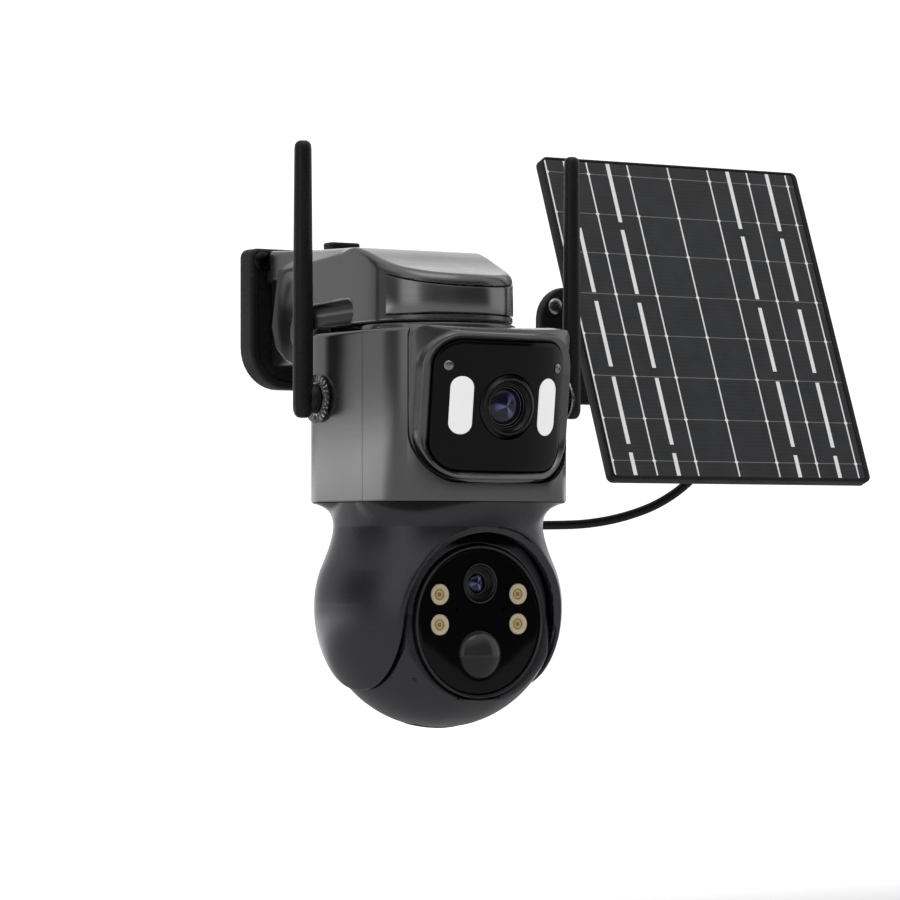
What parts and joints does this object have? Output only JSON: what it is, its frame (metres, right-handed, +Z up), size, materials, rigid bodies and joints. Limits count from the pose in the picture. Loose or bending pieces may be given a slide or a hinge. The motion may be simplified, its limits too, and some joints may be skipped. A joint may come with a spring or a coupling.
{
  "type": "solar-powered security camera",
  "caption": "Wall-mounted dual-lens security camera with a pan-and-tilt ball head, foldable antennas and a tilting solar panel on its own bracket and cable.",
  "frame": {"origin": "centre of the camera wall plate's back face, on the wall", "axes": "+Y into the wall, -Y the way the lenses look, +X towards the solar panel, +Z up"},
  "size_m": [0.2791, 0.1713, 0.2437],
  "materials": {
    "gunmetal": "metallic grey moulded plastic, fine grain, satin",
    "slate": "darker slate grey moulded plastic with a fine speckle",
    "trim_band": "brushed satin",
    "black_plastic": "fine moulded texture",
    "rubber": "soft matt",
    "black_acrylic": "polished",
    "lens_glass": "coated, violet reflections",
    "diffuser": "opal white",
    "steel": "bright",
    "lamp": "cream silicone over a phosphor chip",
    "sensor_dome": "milky grey with fine lens cells",
    "solar_cells": "laminated glass-clear sheet over dark cells",
    "circuit_board": "solder mask",
    "battery_wrap": "shrink wrap"
  },
  "bodies": {
    "wall_mounts": {"wall_plate": "black_plastic", "wall_screw_1": "steel", "wall_screw_2": "steel", "wall_screw_3": "steel", "pivot_block": "gunmetal", "hinge_bolt": "gunmetal", "hinge_cap": "gunmetal", "cable_gland": "rubber", "panel_wall_base": "black_plastic", "panel_base_screw_1": "steel", "panel_base_screw_2": "steel", "panel_base_screw_3": "steel", "panel_base_screw_4": "steel", "cable_long_run": "rubber"},
    "camera_body": {"arm_housing": "gunmetal", "arm_bottom_cover": "black_plastic", "hub_trim_band": "trim_band", "hub_ring": "gunmetal", "rear_housing": "gunmetal", "front_housing": "gunmetal", "housing_base": "slate", "main_circuit_board": "circuit_board", "battery_cell": "battery_wrap", "pan_motor": "steel", "front_bezel": "gunmetal", "front_window": "black_acrylic", "main_lens_barrel": "black_plastic", "main_lens_glass": "lens_glass", "light_bar_left": "diffuser", "light_bar_right": "diffuser", "window_screw_left": "steel", "window_screw_right": "steel", "antenna_mount_left": "steel", "antenna_mount_right": "steel"},
    "lock_button": {"fold_lock_button": "black_plastic"},
    "left_antenna": {"antenna_left": "black_plastic"},
    "right_antenna": {"antenna_right": "black_plastic"},
    "pan_yoke": {"yoke_shell": "slate", "pan_ring_gear": "black_plastic", "ear_cover_left": "black_plastic", "ear_cover_right": "black_plastic", "tilt_motor": "steel"},
    "ball_head": {"head_shell": "slate", "head_rim": "slate", "head_window": "black_acrylic", "zoom_lens_barrel": "black_plastic", "zoom_lens_glass": "lens_glass", "face_lamp_1": "lamp", "face_lamp_2": "lamp", "face_lamp_3": "lamp", "face_lamp_4": "lamp", "motion_sensor_dome": "sensor_dome", "head_circuit_board": "circuit_board", "card_slot_cover": "rubber"},
    "panel_swivel": {"panel_knuckle": "black_plastic", "cable_short_run": "rubber"},
    "solar_panel": {"panel_tray": "black_plastic", "panel_cells": "solar_cells", "panel_bracket": "black_plastic", "junction_box": "black_plastic"}
  },
  "joints": [
    {"name": "arm_tilt", "type": "hinge", "parent": "wall_mounts", "child": "camera_body", "pos_m": [0, -0.051, -0.0084], "axis": [1, 0, 0], "range_deg": [0, 20]},
    {"name": "lock_button_press", "type": "slide", "parent": "wall_mounts", "child": "lock_button", "axis": [0, 0, -1], "range_m": [0, 0.002], "stiffness_N_per_m": 400},
    {"name": "antenna_left_fold", "type": "hinge", "parent": "camera_body", "child": "left_antenna", "pos_m": [0, -0.0907, -0.0383], "axis": [1, 0, 0], "range_deg": [-50, 90]},
    {"name": "antenna_right_fold", "type": "hinge", "parent": "camera_body", "child": "right_antenna", "pos_m": [0, -0.1373, -0.0383], "axis": [1, 0, 0], "range_deg": [-90, 90]},
    {"name": "ball_pan", "type": "hinge", "parent": "camera_body", "child": "pan_yoke", "pos_m": [0, -0.114, -0.0818], "axis": [0, 0, 1], "range_deg": [-175, 175]},
    {"name": "ball_tilt", "type": "hinge", "parent": "pan_yoke", "child": "ball_head", "pos_m": [0, -0.114, -0.1245], "axis": [1, 0, 0], "range_deg": [-5, 90]},
    {"name": "panel_pan", "type": "hinge", "parent": "wall_mounts", "child": "panel_swivel", "pos_m": [0.1545, -0.061, 0.001], "axis": [0, 0, 1], "range_deg": [-10, 30], "deforming": ["cable_long_run"]},
    {"name": "panel_tilt", "type": "hinge", "parent": "panel_swivel", "child": "solar_panel", "pos_m": [0.1545, -0.074, 0.001], "axis": [1, 0, 0], "range_deg": [-25, 20], "deforming": ["cable_short_run"]}
  ]
}
